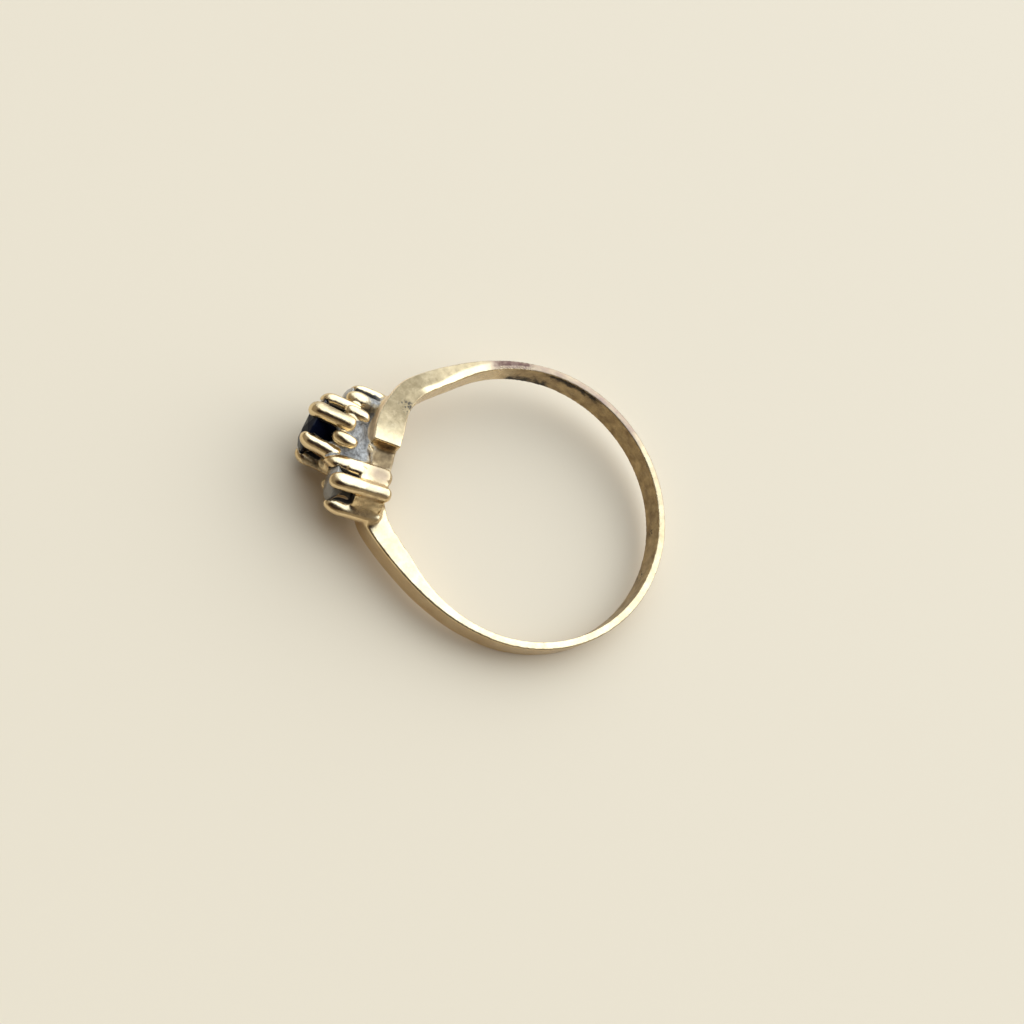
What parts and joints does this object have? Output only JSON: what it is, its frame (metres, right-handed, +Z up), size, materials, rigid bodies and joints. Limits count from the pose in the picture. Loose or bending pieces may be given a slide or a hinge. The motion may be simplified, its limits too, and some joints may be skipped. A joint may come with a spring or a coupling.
{
  "type": "gold ring",
  "caption": "Gold crossover finger ring with slim flat band, arms that pass under the head, and round stones in claw baskets, lying on its side.",
  "frame": {"origin": "on the floor that the ring lies on, under the middle of its box", "axes": "+Z up from the floor, +X from the finger hole out through the head with the stones"},
  "size_m": [0.0232, 0.018, 0.0046],
  "materials": {
    "gold": "worn 9 carat yellow gold, polished on edges, dulled and stained inside",
    "dark_stone": "very dark blue cut stone, glossy",
    "pale_stone": "greyish colourless cut stone, dulled by wear"
  },
  "bodies": {
    "root": {"ring_body": "gold", "centre_stone": "dark_stone", "lower_stone": "pale_stone", "upper_stone": "pale_stone"}
  },
  "joints": []
}
